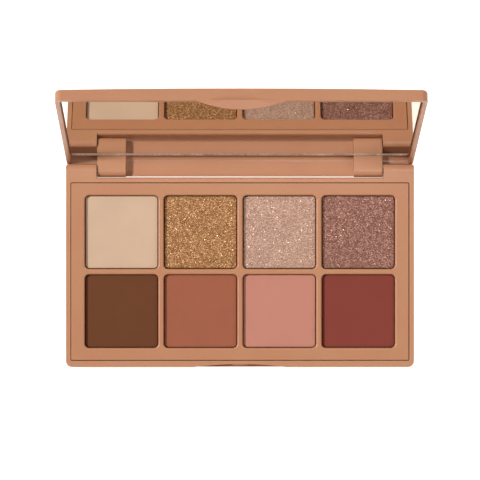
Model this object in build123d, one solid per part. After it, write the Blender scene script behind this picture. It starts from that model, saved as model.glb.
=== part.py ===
from build123d import *

import os

# Eyeshadow palette: a shallow clamshell compact with eight square wells and a mirrored lid.
#
# Frame: X runs across the compact, +Y runs back towards the hinge and +Z is up. The origin is the centre
# of the base's footprint, on the plane that it rests on. Everything is in millimetres. The lid is drawn
# closed and then swung open about the hinge axis, so its parts are written with it fully open.

# Overall size with the lid closed
WIDTH = 112.0
DEPTH = 65.2
BASE_HEIGHT = 7.0
LID_EDGE_HEIGHT = 3.6  # lid thickness along its side edges
LID_CROWN = 0.5  # extra thickness along the lid's centre line
PARTING_GAP = 0.1
OPEN_ANGLE = 105.5  # degrees from closed to fully open

# Moulding radii
FRONT_CORNER = 2.0
BASE_REAR_CORNER = 0.6
LID_REAR_CORNER = 1.0
BOTTOM_FILLET = 0.5
LID_TOP_FILLET = 0.9
RIM_FILLET = 0.2

# Base shell and the pocket that holds the well tray
FLOOR = 1.3
POCKET_HALF_WIDTH = 54.5
POCKET_FRONT_Y = -30.55
POCKET_REAR_Y = 26.8
POCKET_CORNER = 0.5
LABEL_RECESS = 0.2

# Well tray and its grid of wells
TRAY_GAP = 0.2
TRAY_CORNER = 0.3
TRAY_PLATE = 1.2
TRAY_WALL = 1.0
TRAY_EDGE_CHAMFER = 0.15
COLUMNS, ROWS = 4, 2
PITCH = 25.4
GRID_Y = -1.9
WELL = 23.6
WELL_CORNER = 1.4
WELL_LIP_FILLET = 0.5
WELL_FLOOR = 0.7
WELL_FLOOR_CLEARANCE = 0.3
POKE_HOLE_RADIUS = 2.0

# Pressed powder cakes in their metal pans
PAN = 23.0
PAN_CORNER = 1.2
PAN_HEIGHT = 3.0
PAN_SHEET = 0.25
POWDER_PROUD = 0.05
POWDER_EDGE = 0.3
RING_THICKNESS = 0.15
RING_OUTER_RADIUS = 8.0
RING_INNER_RADIUS = 4.0

# Snap beads that hold the tray in the shell
BEAD_RADIUS = 0.45
BEAD_CLEARANCE = 0.05
BEAD_LENGTH = 8.0
BEAD_X = (-36.0, 0.0, 36.0)
BEAD_Z = 3.4

# Hinge: two short steel pins through the rear corner blocks into the lid's knuckles
AXIS_FROM_REAR = 2.1
AXIS_BELOW_RIM = 2.7
BARREL_RADIUS = 1.85
KNUCKLE_INNER_X = 36.7
KNUCKLE_OUTER_X = 46.0
KNUCKLE_FILLET = 0.25
SKIRT_EDGE_FILLET = 0.3
BAY_HALF_WIDTH = 46.2
BAY_DEPTH = 4.2
BAY_EDGE_FILLET = 0.75
PIN_RADIUS = 0.75
PIN_PRESS_CLEARANCE = 0.01
PIN_RUNNING_CLEARANCE = 0.05
PIN_OUTER_X = 55.0
PIN_INNER_X = 37.8
PIN_END_CHAMFER = 0.15

# Lid walls, mirror and tape
LID_SIDE_WALL = 1.4
LID_FRONT_WALL = 1.6
LID_REAR_WALL = 1.0
LID_INNER_CORNER = 1.0
LID_REAR_COVE = 2.2
MIRROR_RECESS = 1.8
MIRROR_THICKNESS = 0.9
MIRROR_GAP = 0.15
MIRROR_CORNER = 0.8
TAPE_THICKNESS = 0.1
TAPE_INSET = 3.0

# Front lip: a lens-shaped lip on the lid drops into an arc-shaped recess in the base, round a nub
RECESS_HALF_WIDTH = 15.0
RECESS_SAGITTA = 1.0
RECESS_HEIGHT = 3.5
LIP_HALF_WIDTH = 13.65
LIP_DROP = 2.8
LIP_PROUD = 0.3
LIP_CLEARANCE = 0.15
LIP_ROOT = 0.15  # how far the lip's crease stands above the lid's rim
SCOOP_HALF_WIDTH = 10.2
SCOOP_HEIGHT = 1.7
SCOOP_DEPTH = 0.75
NUB_WIDTH = 4.9
NUB_PROUD = 0.4
NUB_TOP = 0.5  # below the base's rim
NUB_HEIGHT = 1.1
NUB_CLEARANCE = 0.15

# Label on the underside
LABEL_WIDTH = 92.0
LABEL_DEPTH = 44.0
LABEL_CORNER = 2.0
LABEL_THICKNESS = 0.12
LABEL_MARGIN = 0.4

# Places worked out from the sizes above
REAR_Y = DEPTH / 2
FRONT_Y = -DEPTH / 2
HALF_WIDTH = WIDTH / 2
AXIS_Y = REAR_Y - AXIS_FROM_REAR
AXIS_Z = BASE_HEIGHT - AXIS_BELOW_RIM
BAY_FRONT_Y = REAR_Y - BAY_DEPTH
RECESS_WALL_Y = FRONT_Y + RECESS_SAGITTA
KNUCKLE_FRONT_Y = AXIS_Y - BARREL_RADIUS
MIRROR_REAR_Y = KNUCKLE_FRONT_Y - MIRROR_GAP
RIM_Z = BASE_HEIGHT + PARTING_GAP  # the lid's rim, closed
MIRROR_Z = RIM_Z + MIRROR_RECESS  # the mirror's face, closed
TAPE_Z = MIRROR_Z + MIRROR_THICKNESS
PLATE_Z = TAPE_Z + TAPE_THICKNESS  # the underside of the lid's top plate, closed
TRAY_HALF_WIDTH = POCKET_HALF_WIDTH - TRAY_GAP
TRAY_FRONT_Y = POCKET_FRONT_Y + TRAY_GAP
TRAY_REAR_Y = POCKET_REAR_Y - TRAY_GAP
WELL_BOTTOM_Z = FLOOR + WELL_FLOOR_CLEARANCE
WELL_FLOOR_Z = WELL_BOTTOM_Z + WELL_FLOOR
PAN_BOTTOM_Z = WELL_FLOOR_Z + RING_THICKNESS
PAN_RIM_Z = PAN_BOTTOM_Z + PAN_HEIGHT
CREASE_Z = RIM_Z + LIP_ROOT
PAST = 1.0  # how far a cutter runs past the surface that it cuts
SUNK = 0.5  # how far a piece runs into the one that it is part of
NEAR = 0.01  # tolerance for picking edges by their position

SHADES = (
    ("cream", "gold", "champagne", "mauve"),
    ("brown", "terracotta", "rose", "berry"),
)


def well_centre(row, column):
    """Centre of a well in plan; row 0 is next to the hinge and column 0 is at -X."""
    x = (column - (COLUMNS - 1) / 2) * PITCH
    y = GRID_Y + ((ROWS - 1) / 2 - row) * PITCH
    return x, y


WELL_CENTRES = [well_centre(row, column) for row in range(ROWS) for column in range(COLUMNS)]


def slab(half_width, front_y, rear_y, low_z, high_z, corner):
    """Upright block with rounded corners in plan, centred on X = 0."""
    plan = RectangleRounded(2 * half_width, rear_y - front_y, corner)
    return extrude(Pos(0, (front_y + rear_y) / 2, low_z) * plan, amount=high_z - low_z)


def block(low, high):
    """Plain box between two corners."""
    size = [b - a for a, b in zip(low, high)]
    middle = [(a + b) / 2 for a, b in zip(low, high)]
    return Pos(*middle) * Box(*size)


def rod(radius, low_x, high_x, y, z):
    """Round bar along X."""
    middle = (low_x + high_x) / 2
    return Pos(middle, y, z) * Rotation(0, 90, 0) * Cylinder(radius, high_x - low_x)


def post(radius, centre_y, low_z, high_z):
    """Round upright centred on X = 0."""
    return Pos(0, centre_y, (low_z + high_z) / 2) * Cylinder(radius, high_z - low_z)


def along_x(section, low_x, high_x):
    """A section in the YZ plane, run from one X to another."""
    return extrude(Plane.YZ.offset(low_x) * section, amount=high_x - low_x)


def along_y(section, front_y, rear_y):
    """A section in the XZ plane, run from one Y to another."""
    return extrude(Plane.XZ.offset(-rear_y) * section, amount=rear_y - front_y)


def square_column(size, corner, low_z, high_z, centre):
    """Upright rounded-square column at a well's centre."""
    plan = RectangleRounded(size, size, corner)
    return extrude(Pos(*centre, low_z) * plan, amount=high_z - low_z)


def segment_radius(half_chord, sagitta):
    """Radius of the circle whose arc has this half chord and sagitta."""
    return (half_chord**2 + sagitta**2) / (2 * sagitta)


def recess_disc(gap, low_z, high_z):
    """Upright disc that fills the base's front recess, held back from its wall by a gap."""
    radius = segment_radius(RECESS_HALF_WIDTH, RECESS_SAGITTA)
    return post(radius - gap, RECESS_WALL_Y - radius, low_z, high_z)


def snap_beads(radius, length):
    """Half-round beads along the tray's front and rear skirts."""
    rods = []
    for y in (TRAY_FRONT_Y, TRAY_REAR_Y):
        for x in BEAD_X:
            rods.append(rod(radius, x - length / 2, x + length / 2, y, BEAD_Z))
    return rods


def catch_nub():
    """Bevelled nub at the middle of the recess."""
    high_z = BASE_HEIGHT - NUB_TOP
    low_z = high_z - NUB_HEIGHT
    tip_y = RECESS_WALL_Y - NUB_PROUD
    bevel = NUB_HEIGHT / 4
    outline = Polyline(
        (RECESS_WALL_Y + SUNK, low_z),
        (RECESS_WALL_Y, low_z),
        (tip_y, low_z + bevel),
        (tip_y, high_z - bevel),
        (RECESS_WALL_Y, high_z),
        (RECESS_WALL_Y + SUNK, high_z),
        close=True,
    )
    return along_x(make_face(outline), -NUB_WIDTH / 2, NUB_WIDTH / 2)


def nub_slot():
    """Slot up the back of the lip, open at its bottom, so that the nub stays clear as the lid swings."""
    half_width = NUB_WIDTH / 2 + NUB_CLEARANCE
    front_y = RECESS_WALL_Y - NUB_PROUD - NUB_CLEARANCE
    return block(
        (-half_width, front_y, RIM_Z - LIP_DROP - PAST),
        (half_width, RECESS_WALL_Y + SUNK, BASE_HEIGHT - NUB_TOP + NUB_CLEARANCE),
    )


def corner_relief(side):
    """What rounding a corner block's rear top edge about the hinge axis takes off, so the lid clears it."""
    ends = sorted((side * (BAY_HALF_WIDTH - PAST), side * (HALF_WIDTH + PAST)))
    corner = block((ends[0], AXIS_Y, AXIS_Z), (ends[1], REAR_Y + PAST, BASE_HEIGHT + PAST))
    return corner - rod(AXIS_BELOW_RIM, *ends, AXIS_Y, AXIS_Z)


def rounded_uprights(blank, rear_corner):
    """Rounds the upright edges of one half of the case, its rear ones more tightly than its front ones."""
    blank = fillet(blank.edges().filter_by(Axis.Z).group_by(Axis.Y)[0], FRONT_CORNER)
    return fillet(blank.edges().filter_by(Axis.Z).group_by(Axis.Y)[-1], rear_corner)


def base_shell():
    """Outer lower case: floor, rim, rear corner blocks with the pin holes, hinge bay and front recess."""
    blank = block((-HALF_WIDTH, FRONT_Y, 0), (HALF_WIDTH, REAR_Y, BASE_HEIGHT))
    shell = rounded_uprights(blank, BASE_REAR_CORNER)
    shell = fillet(shell.edges().group_by(Axis.Z)[0], BOTTOM_FILLET)
    shell = fillet(shell.edges().group_by(Axis.Z)[-1], RIM_FILLET)
    shell -= block(
        (-BAY_HALF_WIDTH, BAY_FRONT_Y, -PAST),
        (BAY_HALF_WIDTH, REAR_Y + PAST, BASE_HEIGHT + PAST),
    )
    bay_edge = shell.edges().filter_by(Axis.X).filter_by_position(
        Axis.Y, BAY_FRONT_Y - NEAR, BAY_FRONT_Y + NEAR
    )
    shell = fillet(bay_edge.group_by(Axis.Z)[-1], BAY_EDGE_FILLET)
    shell -= slab(
        POCKET_HALF_WIDTH, POCKET_FRONT_Y, POCKET_REAR_Y, FLOOR, BASE_HEIGHT + PAST, POCKET_CORNER
    )
    shell -= recess_disc(0, BASE_HEIGHT - RECESS_HEIGHT, BASE_HEIGHT + PAST)
    shell += catch_nub()
    for side in (-1, 1):
        ends = sorted((side * (BAY_HALF_WIDTH - PAST), side * (HALF_WIDTH + PAST)))
        shell -= rod(PIN_RADIUS + PIN_PRESS_CLEARANCE, *ends, AXIS_Y, AXIS_Z)
        shell -= corner_relief(side)
    for groove in snap_beads(BEAD_RADIUS + BEAD_CLEARANCE, BEAD_LENGTH + 2 * BEAD_CLEARANCE):
        shell -= groove
    label_half = LABEL_WIDTH / 2 + LABEL_MARGIN
    label_y = LABEL_DEPTH / 2 + LABEL_MARGIN
    shell -= slab(label_half, -label_y, label_y, -PAST, LABEL_RECESS, LABEL_CORNER)
    return shell


def well_tray():
    """Inner frame with the eight wells, a hollow border under its top plate and snap beads on its skirt."""
    tray = slab(TRAY_HALF_WIDTH, TRAY_FRONT_Y, TRAY_REAR_Y, FLOOR, BASE_HEIGHT, TRAY_CORNER)
    tray = chamfer(tray.edges().group_by(Axis.Z)[-1], TRAY_EDGE_CHAMFER)
    for centre in WELL_CENTRES:
        tray -= square_column(WELL, WELL_CORNER, WELL_FLOOR_Z, BASE_HEIGHT + PAST, centre)
    top = tray.faces().filter_by(Axis.Z).sort_by(Axis.Z)[-1]
    lips = [edge for wire in top.inner_wires() for edge in wire.edges()]
    tray = fillet(lips, WELL_LIP_FILLET)

    skirt_inside = slab(
        TRAY_HALF_WIDTH - TRAY_WALL,
        TRAY_FRONT_Y + TRAY_WALL,
        TRAY_REAR_Y - TRAY_WALL,
        FLOOR - PAST,
        BASE_HEIGHT - TRAY_PLATE,
        TRAY_CORNER,
    )
    grid_x = (COLUMNS - 1) / 2 * PITCH + WELL / 2 + TRAY_WALL
    grid_y = (ROWS - 1) / 2 * PITCH + WELL / 2 + TRAY_WALL
    wells = slab(grid_x, GRID_Y - grid_y, GRID_Y + grid_y, WELL_BOTTOM_Z, BASE_HEIGHT, WELL_CORNER)
    tray -= skirt_inside - wells
    for x, y in WELL_CENTRES:
        tray -= Pos(x, y, WELL_FLOOR_Z) * Cylinder(POKE_HOLE_RADIUS, 2 * PAST)
    for bead in snap_beads(BEAD_RADIUS, BEAD_LENGTH):
        tray += bead
    return tray


def powder_pan(centre):
    """Stamped square pan with a rounded bottom edge."""
    pan = square_column(PAN, PAN_CORNER, PAN_BOTTOM_Z, PAN_RIM_Z, centre)
    pan = fillet(pan.edges().group_by(Axis.Z)[0], 2 * PAN_SHEET)
    return pan - pan_inside(centre, PAN_RIM_Z + PAST)


def pan_inside(centre, top_z):
    """Space inside a pan, up to a given height."""
    corner = PAN_CORNER - PAN_SHEET
    floor_z = PAN_BOTTOM_Z + PAN_SHEET
    inside = square_column(PAN - 2 * PAN_SHEET, corner, floor_z, top_z, centre)
    return fillet(inside.edges().group_by(Axis.Z)[0], PAN_SHEET)


def powder_cake(centre):
    """Pressed powder that fills a pan and stands just proud of its edge."""
    cake = pan_inside(centre, PAN_RIM_Z + POWDER_PROUD)
    return fillet(cake.edges().group_by(Axis.Z)[-1], POWDER_EDGE)


def adhesive_rings():
    """Double-sided rings that hold the pans to the well floors."""
    rings = []
    for x, y in WELL_CENTRES:
        middle = Pos(x, y, WELL_FLOOR_Z + RING_THICKNESS / 2)
        disc = Cylinder(RING_OUTER_RADIUS, RING_THICKNESS)
        rings.append(middle * (disc - Cylinder(RING_INNER_RADIUS, RING_THICKNESS)))
    return Compound(rings)


def base_label():
    """Blank paper label in the recess under the base."""
    low_z = LABEL_RECESS - LABEL_THICKNESS
    half_depth = LABEL_DEPTH / 2
    return slab(LABEL_WIDTH / 2, -half_depth, half_depth, low_z, LABEL_RECESS, LABEL_CORNER)


def hinge_pin(side):
    """Steel pin, pressed into a corner block and running in a knuckle."""
    ends = sorted((side * PIN_INNER_X, side * PIN_OUTER_X))
    pin = rod(PIN_RADIUS, *ends, AXIS_Y, AXIS_Z)
    return chamfer(pin.edges().filter_by(GeomType.CIRCLE), PIN_END_CHAMFER)


def lid_blank():
    """Crowned outer block of the lid with rounded corners and edges."""
    edge_z = RIM_Z + LID_EDGE_HEIGHT
    sides = Polyline(
        (-HALF_WIDTH, edge_z), (-HALF_WIDTH, RIM_Z), (HALF_WIDTH, RIM_Z), (HALF_WIDTH, edge_z)
    )
    crown = ThreePointArc((HALF_WIDTH, edge_z), (0, edge_z + LID_CROWN), (-HALF_WIDTH, edge_z))
    blank = along_y(make_face(sides + crown), FRONT_Y, REAR_Y)
    blank = rounded_uprights(blank, LID_REAR_CORNER)
    blank = fillet(blank.faces().sort_by(Axis.Z)[-1].edges(), LID_TOP_FILLET)
    return fillet(blank.edges().group_by(Axis.Z)[0], RIM_FILLET)


def lid_cavity():
    """Hollow under the lid's plate, with a cove where the plate turns into the rear wall."""
    half_width = HALF_WIDTH - LID_SIDE_WALL
    front_y = FRONT_Y + LID_FRONT_WALL
    rear_y = REAR_Y - LID_REAR_WALL
    cavity = block((-half_width, front_y, RIM_Z - PAST), (half_width, rear_y, PLATE_Z))
    uprights = cavity.edges().filter_by(Axis.Z).group_by(Axis.Y)[0]
    cavity = fillet(uprights, LID_INNER_CORNER)
    rear_edge = cavity.edges().filter_by(Axis.X).group_by(Axis.Y)[-1].group_by(Axis.Z)[-1]
    return fillet(rear_edge, LID_REAR_COVE)


def hinge_section(front_y):
    """Section of the lid's hinge drop behind a front plane, with its bottom rounded about the axis."""
    low_z = AXIS_Z - BARREL_RADIUS
    height = PLATE_Z + SUNK - low_z
    middle_z = low_z + height / 2
    whole = Pos((KNUCKLE_FRONT_Y + REAR_Y) / 2, middle_z) * Rectangle(REAR_Y - KNUCKLE_FRONT_Y, height)
    whole = fillet(whole.vertices().group_by(Axis.Y)[0], BARREL_RADIUS)
    return whole & (Pos((front_y + REAR_Y) / 2, middle_z) * Rectangle(REAR_Y - front_y, height))


def lid_knuckle(side):
    """Knuckle that turns on a hinge pin."""
    ends = sorted((side * KNUCKLE_INNER_X, side * KNUCKLE_OUTER_X))
    knuckle = along_x(hinge_section(KNUCKLE_FRONT_Y), *ends)
    front_uprights = knuckle.edges().filter_by(Axis.Z).group_by(Axis.Y)[0]
    return fillet(front_uprights, KNUCKLE_FILLET)


def lid_skirt():
    """Rear wall of the lid between the knuckles, which drops into the hinge bay."""
    section = hinge_section(REAR_Y - LID_REAR_WALL)
    front_corner = section.vertices().group_by(Axis.X)[0].group_by(Axis.Y)[0]
    section = fillet(front_corner, SKIRT_EDGE_FILLET)
    half_length = KNUCKLE_INNER_X + SUNK
    return along_x(section, -half_length, half_length)


def thumb_scoop():
    """Conical cut with an arc-shaped upper edge in the lid's front face, above the lip's crease."""
    radius = segment_radius(SCOOP_HALF_WIDTH, SCOOP_HEIGHT)
    centre_z = CREASE_Z + SCOOP_HEIGHT - radius
    slope = SCOOP_HEIGHT / SCOOP_DEPTH
    outer = radius + slope * PAST
    inner = radius - slope * SCOOP_DEPTH
    height = PAST + SCOOP_DEPTH
    cone = Rotation(-90, 0, 0) * Cone(outer, inner, height)
    cone = Pos(0, FRONT_Y + SCOOP_DEPTH - height / 2, centre_z) * cone
    above = block(
        (-WIDTH, FRONT_Y - 2 * PAST, CREASE_Z),
        (WIDTH, FRONT_Y + 2 * PAST, CREASE_Z + 2 * SCOOP_HEIGHT),
    )
    return cone & above


def catch_lip():
    """Lens-shaped lip under the lid's front edge, proud at its crease and slotted behind for the nub."""
    low_z = RIM_Z - LIP_DROP
    drop_radius = segment_radius(LIP_HALF_WIDTH, LIP_DROP)
    lens = Pos(0, low_z + drop_radius) * Circle(drop_radius)
    lens &= Pos(0, CREASE_Z - LIP_DROP) * Rectangle(2 * LIP_HALF_WIDTH, 2 * LIP_DROP)
    lip = along_y(lens, FRONT_Y - PAST, FRONT_Y + LID_FRONT_WALL)
    slope = Polyline(
        (FRONT_Y - LIP_PROUD, CREASE_Z),
        (FRONT_Y, low_z),
        (FRONT_Y + LID_FRONT_WALL, low_z),
        (FRONT_Y + LID_FRONT_WALL, CREASE_Z),
        close=True,
    )
    lip &= along_x(make_face(slope), -LIP_HALF_WIDTH, LIP_HALF_WIDTH)
    bulge_radius = segment_radius(LIP_HALF_WIDTH, LIP_PROUD)
    lip &= post(bulge_radius, FRONT_Y - LIP_PROUD + bulge_radius, low_z - PAST, CREASE_Z)
    lip &= recess_disc(LIP_CLEARANCE, low_z - PAST, CREASE_Z)
    return lip - nub_slot()


def lid_shell():
    """Lid moulding, closed: crowned plate, rim walls, hinge knuckles, skirt and catch lip."""
    lid = lid_blank() - lid_cavity()
    lid += lid_skirt()
    for side in (-1, 1):
        lid += lid_knuckle(side)
        ends = sorted((side * (PIN_INNER_X - PIN_END_CHAMFER), side * (KNUCKLE_OUTER_X + PAST)))
        lid -= rod(PIN_RADIUS + PIN_RUNNING_CLEARANCE, *ends, AXIS_Y, AXIS_Z)
    lid -= thumb_scoop()
    return lid + catch_lip()


def mirror_glass():
    """Silvered glass plate in the lid, closed."""
    half_width = HALF_WIDTH - LID_SIDE_WALL - MIRROR_GAP
    front_y = FRONT_Y + LID_FRONT_WALL + MIRROR_GAP
    return slab(half_width, front_y, MIRROR_REAR_Y, MIRROR_Z, TAPE_Z, MIRROR_CORNER)


def mirror_tape():
    """Double-sided tape between the mirror and the lid's plate, closed."""
    half_width = HALF_WIDTH - LID_SIDE_WALL - TAPE_INSET
    front_y = FRONT_Y + LID_FRONT_WALL + TAPE_INSET
    return slab(half_width, front_y, MIRROR_REAR_Y - TAPE_INSET, TAPE_Z, PLATE_Z, MIRROR_CORNER)


def swung_open(shape):
    """Turns a lid part from closed to open about the hinge axis."""
    return shape.rotate(Axis((0, AXIS_Y, AXIS_Z), (1, 0, 0)), -OPEN_ANGLE)


def main():
    os.makedirs("parts", exist_ok=True)
    parts = {
        "base_shell": base_shell(),
        "well_tray": well_tray(),
        "pan_adhesive_rings": adhesive_rings(),
        "base_label": base_label(),
        "hinge_pin_left": hinge_pin(-1),
        "hinge_pin_right": hinge_pin(1),
        "lid_shell": swung_open(lid_shell()),
        "mirror_glass": swung_open(mirror_glass()),
        "mirror_tape": swung_open(mirror_tape()),
    }
    for row in range(ROWS):
        for column in range(COLUMNS):
            centre = well_centre(row, column)
            parts[f"pan_{SHADES[row][column]}"] = powder_pan(centre)
            parts[f"powder_{SHADES[row][column]}"] = powder_cake(centre)
    for name, shape in parts.items():
        export_step(shape, f"parts/{name}.step")
        print(f"{name}: {shape.volume:.1f} mm3, {len(shape.solids())} solids")


main()
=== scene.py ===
"""Looks of the eyeshadow palette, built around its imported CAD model.

Everything is in metres, in the CAD frame: +X to the right, +Y back to the hinge, +Z up, with the palette
standing on z = 0 and its lid open. The shells, pans, pins, tape and label keep their CAD meshes and get
materials here. Finer meshes replace the plain CAD powder cakes and mirror, and glitter flakes are added.
"""

import math
import random

import bpy
from mathutils import Matrix, Vector, noise


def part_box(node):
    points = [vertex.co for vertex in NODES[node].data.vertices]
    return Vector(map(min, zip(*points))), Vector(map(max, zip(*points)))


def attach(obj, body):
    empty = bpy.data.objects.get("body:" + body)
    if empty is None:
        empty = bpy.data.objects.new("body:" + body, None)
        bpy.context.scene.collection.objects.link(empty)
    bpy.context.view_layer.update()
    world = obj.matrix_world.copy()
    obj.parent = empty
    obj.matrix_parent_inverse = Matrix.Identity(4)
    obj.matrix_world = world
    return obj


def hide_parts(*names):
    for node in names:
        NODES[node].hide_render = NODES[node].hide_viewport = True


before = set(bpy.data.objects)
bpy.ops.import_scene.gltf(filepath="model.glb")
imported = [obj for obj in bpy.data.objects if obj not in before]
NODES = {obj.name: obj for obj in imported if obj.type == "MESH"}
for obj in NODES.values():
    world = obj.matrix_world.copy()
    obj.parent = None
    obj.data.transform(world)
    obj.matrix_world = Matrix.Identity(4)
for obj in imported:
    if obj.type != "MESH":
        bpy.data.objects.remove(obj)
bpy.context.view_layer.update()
MM = 0.001

# Shades of powder, named as their CAD nodes are. Colours are linear RGB.
MATTE_SHADES = {
    "cream": (0.610, 0.450, 0.325),
    "brown": (0.152, 0.051, 0.019),
    "terracotta": (0.362, 0.118, 0.064),
    "rose": (0.530, 0.240, 0.178),
    "berry": (0.240, 0.049, 0.034),
}
GLITTER_SHADES = {
    "gold": {
        "base": (0.296, 0.127, 0.041),
        "tint": (0.430, 0.207, 0.081),
        "flake": (0.63, 0.38, 0.19),
    },
    "champagne": {
        "base": (0.460, 0.270, 0.198),
        "tint": (0.495, 0.306, 0.230),
        "flake": (0.56, 0.39, 0.30),
    },
    "mauve": {
        "base": (0.226, 0.096, 0.067),
        "tint": (0.33, 0.148, 0.113),
        "flake": (0.47, 0.265, 0.21),
    },
}
SHELL_PLASTIC = (0.420, 0.207, 0.113)
TRAY_PLASTIC = (0.408, 0.192, 0.098)

# Powder cakes
CAKE_OVERLAP = 0.29 * MM  # how far the pressed powder reaches out past the inside of its pan
CAKE_PROUD = 0.12 * MM  # how far its top stands above the pan's rim
CAKE_EDGE = 0.20 * MM  # width of its rounded edge, which falls half as far
CAKE_CORNER = 1.15 * MM
CAKE_STEP = 0.25 * MM  # spacing of the mesh in the middle of the cake
EDGE_TICKS = [value * MM for value in (0.0, 0.04, 0.10, 0.18, 0.28, 0.42, 0.62)]  # and near its border
MATTE_RELIEF = 0.006 * MM
GLITTER_RELIEF = 0.030 * MM
GRAIN_SIZE = 0.45 * MM
GLITTER_GRAIN_SIZE = 0.24 * MM
SWELL_RELIEF = 0.012 * MM
SWELL_SIZE = 6.0 * MM
CRUMBLE_RELIEF = 0.03 * MM
CRUMBLE_SIZE = 0.8 * MM
SKIN = 0.02 * MM  # small gap or overlap that keeps two surfaces from coinciding
FOOT_HEIGHT = 0.3 * MM  # height and width of the slope round the cake's foot, inside the pan's bottom curve

# Glitter flakes
FLAKES_PER_CAKE = 700
FLAKE_RADIUS = (0.10 * MM, 0.24 * MM)
FLAKE_THICKNESS = 0.02 * MM
FLAKE_TILT = 13.0  # standard deviation, degrees
FLAKE_LIFT = (-0.01, 0.030)  # lowest and highest place in the surface, mm
FLAKE_STRETCH = (0.6, 1.0)
FLAKE_MARGIN = 0.45 * MM
FLAKE_SIDES = 6

# Mirror
MIRROR_CHAMFER = 0.25 * MM
MIRROR_CORNER = 0.8 * MM
LEAST_CORNER = 0.1 * MM
MIRROR_BAND = 2.0 * MM  # pale strip along the hinge edge, painted in the edge material to stand for a reflection

# Stage, light and camera
FLOOR_SIZE = 3.0
FLOOR_GLOW = 0.85  # keeps the floor white where the palette shades it
SKY_OVERHEAD = (0.100, 0.076, 0.058)
SKY_HORIZON = (0.420, 0.385, 0.350)
SKY_BAND = 0.5  # sine of the height at which the pale band round the horizon has faded
KEY = {"place": (-1.92, 0.495, 2.25), "size": 0.40, "watts": 98.0, "colour": (1.0, 0.995, 0.985)}
FILL = {"place": (0.50, -0.30, 0.55), "size": 0.40, "watts": 2.1, "colour": (1.0, 0.98, 0.95)}
TOP = {"place": (0.10, 0.24, 1.00), "size": 0.10, "watts": 1.5, "colour": (1.0, 0.98, 0.95)}
CAMERA_HEIGHT = 0.823  # above the base's top
CAMERA_X = -6.35 * MM
CAMERA_Y = 8.28 * MM
VIEW_WIDTH = 154.34 * MM  # what the frame spans at the height of the base's top
SENSOR = 36.0


# ---------------------------------------------------------------- node materials


class Nodes:
    """Builds one procedural material on a Principled shader."""

    def __init__(self, name, **values):
        self.material = bpy.data.materials.new(name)
        self.material.use_nodes = True
        self.tree = self.material.node_tree
        self.shader = self.tree.nodes["Principled BSDF"]
        for socket, value in values.items():
            self.shader.inputs[socket.replace("_", " ")].default_value = value
        self.place = self.add("ShaderNodeTexCoord").outputs["Object"]

    def add(self, kind, **properties):
        node = self.tree.nodes.new(kind)
        for key, value in properties.items():
            setattr(node, key, value)
        return node

    def link(self, output, target):
        self.tree.links.new(output, target)

    def noise(self, per_metre, detail=2.0, roughness=0.5, distortion=0.0):
        node = self.add("ShaderNodeTexNoise")
        self.link(self.place, node.inputs["Vector"])
        node.inputs["Scale"].default_value = per_metre
        node.inputs["Detail"].default_value = detail
        node.inputs["Roughness"].default_value = roughness
        node.inputs["Distortion"].default_value = distortion
        return node.outputs["Fac"]

    def cells(self, per_metre, output="Color"):
        node = self.add("ShaderNodeTexVoronoi")
        self.link(self.place, node.inputs["Vector"])
        node.inputs["Scale"].default_value = per_metre
        return node.outputs[output]

    def ramp(self, fac, *stops):
        """Colour ramp through (position, colour) stops; a single number makes a grey."""
        node = self.add("ShaderNodeValToRGB")
        self.link(fac, node.inputs["Fac"])
        elements = node.color_ramp.elements
        while len(elements) < len(stops):
            elements.new(0.5)
        for element, (position, colour) in zip(elements, stops):
            rgb = (colour,) * 3 if isinstance(colour, float) else colour
            element.position = position
            element.color = (*rgb, 1.0)
        return node.outputs["Color"]

    def mix(self, fac, first, second, blend="MIX"):
        node = self.add("ShaderNodeMix", data_type="RGBA", blend_type=blend)
        if isinstance(fac, float):
            node.inputs["Factor"].default_value = fac
        else:
            self.link(fac, node.inputs["Factor"])
        self.link(first, node.inputs["A"])
        self.link(second, node.inputs["B"])
        return node.outputs["Result"]

    def bump(self, height, strength, depth, normal=None):
        node = self.add("ShaderNodeBump")
        node.inputs["Strength"].default_value = strength
        node.inputs["Distance"].default_value = depth
        self.link(height, node.inputs["Height"])
        if normal is not None:
            self.link(normal, node.inputs["Normal"])
        return node.outputs["Normal"]

    def set(self, socket, output):
        self.link(output, self.shader.inputs[socket])


def scaled(colour, factor):
    """Colour with each channel multiplied, held below 1."""
    return tuple(min(channel * factor, 1.0) for channel in colour)


def moulded_plastic(name, colour):
    """Warm peach plastic with a soft satin skin: cloudy tone, fine grain and uneven gloss."""
    m = Nodes(
        name,
        IOR=1.46,
        Specular_IOR_Level=0.55,
        Subsurface_Weight=0.15,
        Subsurface_Scale=0.8 * MM,
        Subsurface_Radius=(1.0, 0.30, 0.12),
    )
    clouds = m.noise(55.0, detail=3.0, roughness=0.6, distortion=0.4)
    pinker = (colour[0] * 1.02, colour[1] * 0.965, colour[2])
    m.set("Base Color", m.ramp(clouds, (0.32, pinker), (0.70, scaled(colour, 1.035))))
    m.set("Roughness", m.ramp(m.noise(160.0, detail=3.0), (0.3, 0.31), (0.7, 0.39)))
    grain = m.bump(m.noise(5200.0, detail=2.0, roughness=0.6), 0.12, 0.010 * MM)
    m.set("Normal", m.bump(m.noise(300.0), 0.10, 0.02 * MM, grain))
    return m.material


def silvered_glass():
    """Mirror silvering seen through slightly warm glass, with a trace of unevenness in the polish."""
    m = Nodes("silvered_glass", Metallic=1.0, Base_Color=(0.80, 0.76, 0.70, 1.0))
    m.set("Roughness", m.ramp(m.noise(240.0, detail=4.0), (0.35, 0.012), (0.8, 0.030)))
    m.set("Normal", m.bump(m.noise(45.0, detail=1.0), 0.03, 0.02 * MM))
    return m.material


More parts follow.
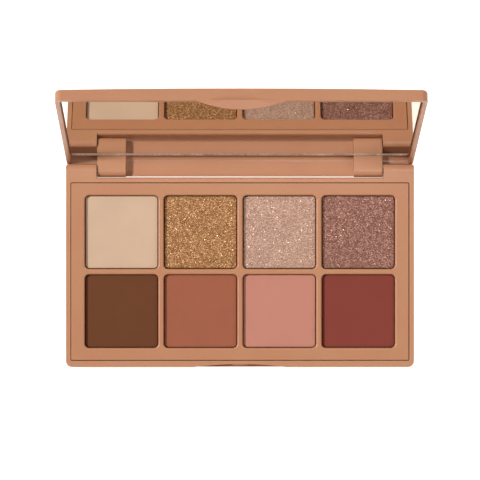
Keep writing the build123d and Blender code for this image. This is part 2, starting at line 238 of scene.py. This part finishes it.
def ground_glass_and_painted_reflection():
    """Cut edge of the mirror: ground glass whose pale, mottled tone is partly its own and partly a painted
    reflection, with white spots that are painted glints.
    """
    m = Nodes("ground_glass_and_painted_reflection", IOR=1.52, Specular_IOR_Level=0.7)
    # The pale mottled tone is partly the ground glass's own colour and partly a painted reflection.
    cloudy = m.noise(210.0, detail=5.0, roughness=0.7)
    ground = m.ramp(cloudy, (0.35, (0.44, 0.38, 0.32)), (0.65, (0.90, 0.85, 0.78)))
    # White spots painted as glints.
    painted_glints = m.ramp(m.cells(1500.0, "Distance"), (0.0, 1.0), (0.16, 0.0))
    white = m.ramp(m.noise(400.0), (0.3, (0.80, 0.77, 0.70)), (0.7, (0.92, 0.90, 0.86)))
    m.set("Base Color", m.mix(painted_glints, ground, white))
    m.set("Roughness", m.ramp(m.noise(1400.0), (0.3, 0.15), (0.7, 0.45)))
    m.set("Normal", m.bump(m.noise(2600.0, detail=3.0), 0.4, 0.02 * MM))
    return m.material


def stamped_aluminium():
    """Thin drawn aluminium with faint tool marks."""
    m = Nodes("stamped_aluminium", Metallic=1.0)
    m.set("Base Color", m.ramp(m.noise(500.0), (0.3, (0.60, 0.56, 0.52)), (0.7, (0.74, 0.70, 0.66))))
    m.set("Roughness", m.ramp(m.noise(900.0, detail=4.0), (0.3, 0.28), (0.7, 0.46)))
    m.set("Normal", m.bump(m.noise(2500.0, detail=3.0), 0.15, 0.01 * MM))
    return m.material


def drawn_steel():
    """Hinge pin wire with drawing marks along its length."""
    m = Nodes("drawn_steel", Metallic=1.0)
    stretch = m.add("ShaderNodeMapping")
    stretch.inputs["Scale"].default_value = (0.05, 1.0, 1.0)
    m.link(m.place, stretch.inputs["Vector"])
    m.place = stretch.outputs["Vector"]
    m.set("Base Color", m.ramp(m.noise(6000.0), (0.3, (0.42, 0.41, 0.40)), (0.7, (0.58, 0.57, 0.56))))
    m.set("Roughness", m.ramp(m.noise(9000.0), (0.3, 0.22), (0.7, 0.38)))
    m.set("Normal", m.bump(m.noise(9000.0), 0.2, 0.005 * MM))
    return m.material


def adhesive():
    """Off-white foam tape."""
    m = Nodes("adhesive", Specular_IOR_Level=0.3)
    m.set("Base Color", m.ramp(m.noise(1200.0), (0.3, (0.62, 0.60, 0.52)), (0.7, (0.78, 0.76, 0.68))))
    m.set("Roughness", m.ramp(m.noise(700.0), (0.3, 0.6), (0.7, 0.85)))
    m.set("Normal", m.bump(m.cells(2200.0, "Distance"), 0.3, 0.03 * MM))
    return m.material


def label_paper():
    """Blank coated label, a little lighter than the shell, with paper fibres under the coating."""
    m = Nodes("label_paper", Specular_IOR_Level=0.4)
    tone = scaled(SHELL_PLASTIC, 1.25)
    m.set("Base Color", m.ramp(m.noise(700.0, detail=5.0), (0.3, scaled(tone, 0.96)), (0.7, tone)))
    m.set("Roughness", m.ramp(m.noise(350.0), (0.3, 0.42), (0.7, 0.55)))
    m.set("Normal", m.bump(m.noise(1800.0, detail=5.0, roughness=0.7), 0.2, 0.01 * MM))
    return m.material


def matte_powder(name, colour):
    """Pressed matte pigment: no gloss, a fine grain and a barely mottled tone."""
    m = Nodes(
        f"matte_{name}",
        Specular_IOR_Level=0.12,
        Diffuse_Roughness=0.8,
        Sheen_Weight=0.10,
        Sheen_Roughness=0.6,
    )
    cloudy = m.ramp(m.noise(120.0, detail=3.0), (0.3, scaled(colour, 0.975)), (0.7, scaled(colour, 1.02)))
    grain = m.ramp(m.noise(7000.0, detail=3.0, roughness=0.7), (0.30, 0.90), (0.72, 1.0))
    m.set("Base Color", m.mix(1.0, cloudy, grain, "MULTIPLY"))
    m.set("Roughness", m.ramp(m.noise(2500.0), (0.3, 0.80), (0.7, 0.95)))
    m.set("Normal", m.bump(m.noise(6000.0, detail=3.0, roughness=0.7), 0.25, 0.015 * MM))
    return m.material


def glitter_powder(name, shade):
    """Pressed glitter: small metallic grains that each face their own way, over a darker binder."""
    m = Nodes(f"glitter_{name}", Metallic=0.30, Specular_IOR_Level=0.4)
    grains = m.cells(3300.0)
    separate = m.add("ShaderNodeSeparateColor")
    m.link(grains, separate.inputs["Color"])
    grain_tone = m.ramp(
        separate.outputs["Red"],
        (0.05, scaled(shade["base"], 0.70)),
        (0.45, shade["base"]),
        (0.78, shade["tint"]),
        (0.98, shade["flake"]),
    )
    cloud_tone = m.ramp(m.noise(190.0, detail=3.0), (0.3, 0.88), (0.7, 1.0))
    m.set("Base Color", m.mix(1.0, grain_tone, cloud_tone, "MULTIPLY"))
    m.set("Roughness", m.ramp(separate.outputs["Green"], (0.0, 0.26), (1.0, 0.55)))
    tilted = m.bump(separate.outputs["Blue"], 0.55, 0.10 * MM)
    m.set("Normal", m.bump(m.noise(3800.0, detail=3.0), 0.35, 0.06 * MM, tilted))
    return m.material


def flake_metal(name, shade):
    """Larger reflective flakes pressed into the surface; each flake has its own tone."""
    m = Nodes(f"flakes_{name}", Metallic=0.9)
    island = m.add("ShaderNodeNewGeometry").outputs["Random Per Island"]
    brightest = scaled(shade["flake"], 1.1)
    m.set("Base Color", m.ramp(island, (0.0, shade["tint"]), (0.5, shade["flake"]), (1.0, brightest)))
    m.set("Roughness", m.ramp(m.noise(5000.0), (0.3, 0.36), (0.7, 0.54)))
    return m.material


def studio_floor():
    """Matt white that glows a little."""
    m = Nodes(
        "studio_floor",
        Specular_IOR_Level=0.0,
        Roughness=0.9,
        Base_Color=(0.84, 0.84, 0.84, 1.0),
        Emission_Color=(1.0, 0.94, 0.88, 1.0),
        Emission_Strength=FLOOR_GLOW,
    )
    return m.material


# ---------------------------------------------------------------- meshes


def mesh_object(name, points, faces, materials, face_material=None, smooth=True):
    """Object from points and faces; face_material gives each face the number of its material."""
    mesh = bpy.data.meshes.new(name)
    mesh.from_pydata([tuple(p) for p in points], [], faces)
    for material in materials:
        mesh.materials.append(material)
    mesh.update()
    for index, polygon in enumerate(mesh.polygons):
        polygon.use_smooth = smooth
        if face_material:
            polygon.material_index = face_material[index]
    piece = bpy.data.objects.new(name, mesh)
    bpy.context.scene.collection.objects.link(piece)
    return piece


def edge_spaced(half):
    """Positions from -half to half, close together near both ends and evenly spaced between them."""
    inner = half - EDGE_TICKS[-1]
    count = max(2, round(2 * inner / CAKE_STEP))
    middle = [-inner + 2 * inner * i / count for i in range(1, count)]
    return [-half + tick for tick in EDGE_TICKS] + middle + [half - tick for tick in reversed(EDGE_TICKS)]


def into_rounded_square(x, y, half, corner):
    """Moves a point of a square so that the square's corners become arcs."""
    flat = half - corner
    dx, dy = abs(x) - flat, abs(y) - flat
    if dx <= 0 or dy <= 0:
        return x, y
    rounded_x = flat + dx * math.sqrt(1 - (dy / corner) ** 2 / 2)
    rounded_y = flat + dy * math.sqrt(1 - (dx / corner) ** 2 / 2)
    return math.copysign(rounded_x, x), math.copysign(rounded_y, y)


def edge_drop(distance):
    """How far the cake's rounded edge has fallen at a distance from its border."""
    if distance >= CAKE_EDGE:
        return 0.0
    along = (CAKE_EDGE - distance) / CAKE_EDGE
    return CAKE_EDGE * 0.5 * (1 - math.sqrt(max(0.0, 1 - along**2)))


def relief_noise(x, y, size, layer):
    """Smooth noise over a surface, from -1 to 1, with features of about one size."""
    return noise.noise(Vector((x / size, y / size, layer)))


def surface_relief(x, y, seed, amount, glitter):
    """Height of the pressed surface above its mean: grain, and a faint press unevenness."""
    grain = relief_noise(x, y, GRAIN_SIZE, seed)
    if glitter:
        grain += relief_noise(x, y, GLITTER_GRAIN_SIZE, seed + 7.3)
    return amount * grain + SWELL_RELIEF * relief_noise(x, y, SWELL_SIZE, seed + 3.1)


def powder_cake(name, material, seed, glitter):
    """Closed pressed cake that laps over its pan's rim, with a rounded and slightly crumbled edge."""
    low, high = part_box(f"powder_{name}")
    rim_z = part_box(f"pan_{name}")[1].z
    centre_x, centre_y = (low.x + high.x) / 2, (low.y + high.y) / 2
    half_core = (high.x - low.x) / 2
    half = half_core + CAKE_OVERLAP
    top_z = rim_z + CAKE_PROUD
    relief = GLITTER_RELIEF if glitter else MATTE_RELIEF
    ticks = edge_spaced(half)
    count = len(ticks)
    points = []
    for v in ticks:
        for u in ticks:
            border = half - max(abs(u), abs(v))
            x, y = into_rounded_square(u, v, half, CAKE_CORNER)
            crumble = CRUMBLE_RELIEF * relief_noise(x, y, CRUMBLE_SIZE, seed + 11)
            drop = edge_drop(border + crumble)
            fade = min(1.0, border / CAKE_EDGE)
            z = top_z - drop + fade * surface_relief(x, y, seed, relief, glitter)
            points.append((centre_x + x, centre_y + y, z))
    faces = []
    for j in range(count - 1):
        for i in range(count - 1):
            a = j * count + i
            faces.append((a, a + 1, a + count + 1, a + count))

    # The border of the top, anticlockwise, and then the rings of points below it, down to the foot
    ring = list(range(count))
    ring += [j * count + count - 1 for j in range(1, count)]
    ring += [(count - 1) * count + i for i in range(count - 2, -1, -1)]
    ring += [j * count for j in range(count - 2, 0, -1)]
    levels = (
        (half, rim_z - SKIN),
        (half_core - SKIN, rim_z - SKIN),
        (half_core - SKIN, low.z + FOOT_HEIGHT),
        (half_core - FOOT_HEIGHT - SKIN, low.z + SKIN),
    )
    above = ring
    for level_half, z in levels:
        factor = level_half / half
        start = len(points)
        for index in ring:
            x, y, _ = points[index]
            points.append((centre_x + (x - centre_x) * factor, centre_y + (y - centre_y) * factor, z))
        below = list(range(start, start + len(ring)))
        for k in range(len(ring)):
            following = (k + 1) % len(ring)
            faces.append((above[following], above[k], below[k], below[following]))
        above = below
    faces.append(tuple(reversed(above)))
    piece = mesh_object(f"cake_{name}", points, faces, [material], smooth=not glitter)
    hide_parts(f"powder_{name}")
    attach(piece, "base")


def glitter_flakes(name, material, seed):
    """Thin flat flakes, pressed nearly level into the top of a glitter cake."""
    low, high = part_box(f"powder_{name}")
    top_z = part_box(f"pan_{name}")[1].z + CAKE_PROUD
    draw = random.Random(seed)
    points, faces = [], []
    for _ in range(FLAKES_PER_CAKE):
        centre = Vector((
            draw.uniform(low.x + FLAKE_MARGIN, high.x - FLAKE_MARGIN),
            draw.uniform(low.y + FLAKE_MARGIN, high.y - FLAKE_MARGIN),
            top_z + draw.uniform(*FLAKE_LIFT) * MM,
        ))
        radius = draw.uniform(*FLAKE_RADIUS)
        stretch = draw.uniform(*FLAKE_STRETCH)
        tilt = Matrix.Rotation(math.radians(draw.gauss(0, FLAKE_TILT)), 3, "X")
        tilt = tilt @ Matrix.Rotation(math.radians(draw.gauss(0, FLAKE_TILT)), 3, "Y")
        turn = tilt @ Matrix.Rotation(draw.uniform(0, math.tau), 3, "Z")
        first = len(points)
        for side in (1, -1):
            for corner in range(FLAKE_SIDES):
                angle = math.tau * corner / FLAKE_SIDES
                local = Vector((
                    radius * math.cos(angle),
                    radius * stretch * math.sin(angle),
                    side * FLAKE_THICKNESS / 2,
                ))
                points.append(centre + turn @ local)
        upper = list(range(first, first + FLAKE_SIDES))
        lower = list(range(first + FLAKE_SIDES, first + 2 * FLAKE_SIDES))
        faces.append(tuple(upper))
        faces.append(tuple(reversed(lower)))
        for k in range(FLAKE_SIDES):
            following = (k + 1) % FLAKE_SIDES
            faces.append((upper[following], upper[k], lower[k], lower[following]))
    piece = mesh_object(f"flakes_{name}", points, faces, [material], smooth=False)
    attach(piece, "base")


def plate_axes(node):
    """Directions across, up and out of a flat plate that is square to X, and what it spans along each."""
    mesh = NODES[node].data
    largest = max(mesh.polygons, key=lambda p: p.area)
    normal = largest.normal.normalized()
    across = Vector((1, 0, 0))
    along = normal.cross(across).normalized()
    if along.z < 0:
        along.negate()
    axes = (across, along, across.cross(along))
    spans = []
    for axis in axes:
        values = [v.co.dot(axis) for v in mesh.vertices]
        spans.append((min(values), max(values)))
    return axes, spans


def quarter_arc(half_x, half_y, corner, quarter, steps=6):
    """One rounded corner of a rectangle, anticlockwise; quarter 0 is the corner at +x, +y."""
    sx, sy = ((1, 1), (-1, 1), (-1, -1), (1, -1))[quarter]
    arc = []
    for step in range(steps + 1):
        angle = math.pi / 2 * (quarter + step / steps)
        x = sx * (half_x - corner) + corner * math.cos(angle)
        y = sy * (half_y - corner) + corner * math.sin(angle)
        arc.append((x, y))
    return arc


def banded_outline(half_x, half_y, corner, cut_y):
    """Anticlockwise outline of a rounded rectangle with a point on each side where a band starts."""
    above = quarter_arc(half_x, half_y, corner, 0) + quarter_arc(half_x, half_y, corner, 1)
    below = quarter_arc(half_x, half_y, corner, 2) + quarter_arc(half_x, half_y, corner, 3)
    return above + [(-half_x, cut_y)] + below + [(half_x, cut_y)]


def mirror_plate(silver, edge):
    """Mirror with a ground chamfer round its front, and a pale band along its hinge edge in the same edge
    material, painted to stand for a reflection along the mirror's lower edge.
    """
    axes, spans = plate_axes("mirror_glass")
    across, along, outward = axes
    (low_x, high_x), (low_s, high_s), (back, front) = spans
    if outward.y > 0:
        outward, back, front = -outward, -front, -back
    middle = across * ((low_x + high_x) / 2) + along * ((low_s + high_s) / 2)
    half_x, half_s = (high_x - low_x) / 2, (high_s - low_s) / 2
    cut_s = -half_s + MIRROR_CHAMFER + MIRROR_BAND
    levels = ((MIRROR_CHAMFER, front), (0.0, front - MIRROR_CHAMFER), (0.0, back))
    silvered, ground = 0, 1
    points, faces, kinds = [], [], []
    rings = []
    for inset, depth in levels:
        corner = max(MIRROR_CORNER - inset, LEAST_CORNER)
        outline = banded_outline(half_x - inset, half_s - inset, corner, cut_s)
        rings.append(list(range(len(points), len(points) + len(outline))))
        for x, s in outline:
            points.append(middle + across * x + along * s + outward * depth)
    face_ring = rings[0]  # it ends with the right-hand end of the line where the band starts
    left_cut = len(face_ring) // 2 - 1
    faces.append(tuple(face_ring[: left_cut + 1] + face_ring[-1:]))
    kinds.append(silvered)
    # The band along the hinge edge is a pale strip painted to stand for a reflection.
    faces.append(tuple(face_ring[left_cut:]))
    kinds.append(ground)
    for upper, lower in zip(rings, rings[1:]):
        for k in range(len(upper)):
            following = (k + 1) % len(upper)
            faces.append((upper[k], lower[k], lower[following], upper[following]))
            kinds.append(ground)
    faces.append(tuple(reversed(rings[-1])))
    kinds.append(ground)
    piece = mesh_object("mirror_plate", points, faces, [silver, edge], kinds, smooth=False)
    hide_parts("mirror_glass")
    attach(piece, "lid")


def dress(node, material):
    """Gives a CAD node one material."""
    materials = NODES[node].data.materials
    materials.clear()
    materials.append(material)


# ---------------------------------------------------------------- the palette

plastic = moulded_plastic("shell_plastic", SHELL_PLASTIC)
for shell in ("base_shell", "lid_shell"):
    dress(shell, plastic)
dress("well_tray", moulded_plastic("tray_plastic", TRAY_PLASTIC))
steel = drawn_steel()
for pin in ("hinge_pin_left", "hinge_pin_right"):
    dress(pin, steel)
tape = adhesive()
for sticky in ("pan_adhesive_rings", "mirror_tape"):
    dress(sticky, tape)
dress("base_label", label_paper())
aluminium = stamped_aluminium()
for shade_name in (*MATTE_SHADES, *GLITTER_SHADES):
    dress(f"pan_{shade_name}", aluminium)

for number, (shade_name, colour) in enumerate(MATTE_SHADES.items()):
    powder_cake(shade_name, matte_powder(shade_name, colour), 10.0 + 5 * number, glitter=False)
for number, (shade_name, shade) in enumerate(GLITTER_SHADES.items()):
    powder_cake(shade_name, glitter_powder(shade_name, shade), 50.0 + 5 * number, glitter=True)
    glitter_flakes(shade_name, flake_metal(shade_name, shade), 700 + number)
mirror_plate(silvered_glass(), ground_glass_and_painted_reflection())

# ---------------------------------------------------------------- stage, light and camera


def floor():
    """Plain white table."""
    half = FLOOR_SIZE / 2
    corners = [(-half, -half, 0), (half, -half, 0), (half, half, 0), (-half, half, 0)]
    mesh_object("floor", corners, [(0, 1, 2, 3)], [studio_floor()])


def softbox(name, place, size, watts, colour):
    """Square area light that faces the palette."""
    data = bpy.data.lights.new(name, "AREA")
    data.shape = "SQUARE"
    data.size = size
    data.energy = watts
    data.color = colour
    light = bpy.data.objects.new(name, data)
    light.location = place
    light.rotation_euler = (-Vector(place)).to_track_quat("-Z", "Y").to_euler()
    bpy.context.scene.collection.objects.link(light)


def camera():
    """Camera over the palette, turned just enough about Y to centre the frame on X = 0."""
    data = bpy.data.cameras.new("camera")
    data.sensor_width = SENSOR
    data.lens = SENSOR * CAMERA_HEIGHT / VIEW_WIDTH
    data.clip_start = 0.01
    data.clip_end = 20.0
    piece = bpy.data.objects.new("camera", data)
    base_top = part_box("base_shell")[1].z
    piece.location = (CAMERA_X, CAMERA_Y, base_top + CAMERA_HEIGHT)
    piece.rotation_euler = (0, math.atan2(CAMERA_X, CAMERA_HEIGHT), 0)
    bpy.context.scene.collection.objects.link(piece)
    bpy.context.scene.camera = piece


def studio_world():
    """Dim warm surroundings with a paler band round the horizon, which the mirror shows from the side."""
    world = bpy.data.worlds.new("studio")
    world.use_nodes = True
    tree = world.node_tree
    direction = tree.nodes.new("ShaderNodeTexCoord").outputs["Generated"]
    split = tree.nodes.new("ShaderNodeSeparateXYZ")
    tree.links.new(direction, split.inputs["Vector"])
    fade = tree.nodes.new("ShaderNodeValToRGB")
    tree.links.new(split.outputs["Z"], fade.inputs["Fac"])
    fade.color_ramp.elements[0].color = (*SKY_HORIZON, 1.0)
    fade.color_ramp.elements[1].color = (*SKY_OVERHEAD, 1.0)
    fade.color_ramp.elements[1].position = SKY_BAND
    tree.links.new(fade.outputs["Color"], tree.nodes["Background"].inputs["Color"])
    bpy.context.scene.world = world


floor()
softbox("key", **KEY)
softbox("fill", **FILL)
softbox("top", **TOP)
studio_world()
camera()
bpy.context.scene.view_settings.view_transform = "Standard"
